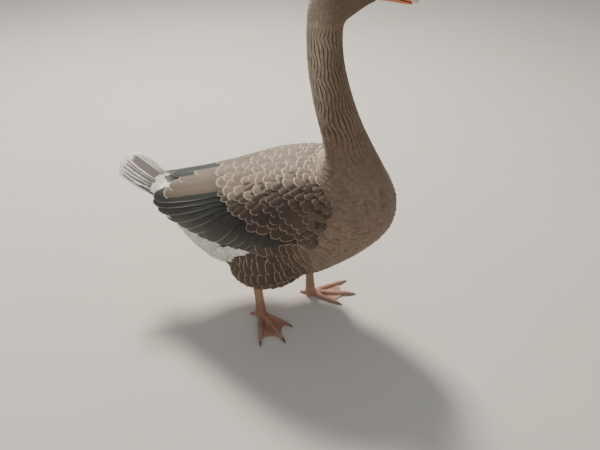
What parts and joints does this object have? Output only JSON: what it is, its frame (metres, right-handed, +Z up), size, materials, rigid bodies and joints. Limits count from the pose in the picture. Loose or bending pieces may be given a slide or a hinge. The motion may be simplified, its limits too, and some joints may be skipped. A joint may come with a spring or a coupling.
{
  "type": "domestic goose",
  "caption": "Grey domestic goose as a still, life-size model, standing with its neck upright, wings folded and both feet turned out.",
  "frame": {"origin": "on the floor, under the middle of the bounding box", "axes": "+X the way the bird faces, +Y its left, +Z up; metres"},
  "size_m": [0.5946, 0.281, 0.7325],
  "materials": {
    "grey_plumage": "matte",
    "neck_plumage": "matte",
    "wing_plumage": "satin",
    "white_plumage": "matte",
    "bill_orange": "satin",
    "nail_horn": "satin",
    "leg_skin": "matte",
    "claw_horn": "satin",
    "eye_brown": "glossy"
  },
  "bodies": {
    "root": {"trunk": "grey_plumage", "breast": "grey_plumage", "scapulars_left": "grey_plumage", "scapulars_right": "grey_plumage", "tertials_left": "grey_plumage", "tertials_right": "grey_plumage", "thigh_left": "grey_plumage", "thigh_right": "grey_plumage", "neck_lower": "neck_plumage", "neck_middle": "neck_plumage", "neck_upper": "neck_plumage", "head": "neck_plumage", "wing_coverts_left": "wing_plumage", "wing_coverts_right": "wing_plumage", "secondaries_left": "wing_plumage", "secondaries_right": "wing_plumage", "primaries_left": "wing_plumage", "primaries_right": "wing_plumage", "rump": "white_plumage", "tail_feathers": "white_plumage", "bill_upper": "bill_orange", "bill_lower": "bill_orange", "bill_nail": "nail_horn", "shank_left": "leg_skin", "shank_right": "leg_skin", "foot_left": "leg_skin", "foot_right": "leg_skin", "claw_inner_left": "claw_horn", "claw_inner_right": "claw_horn", "claw_middle_left": "claw_horn", "claw_middle_right": "claw_horn", "claw_outer_left": "claw_horn", "claw_outer_right": "claw_horn", "eye_left": "eye_brown", "eye_right": "eye_brown"}
  },
  "joints": []
}
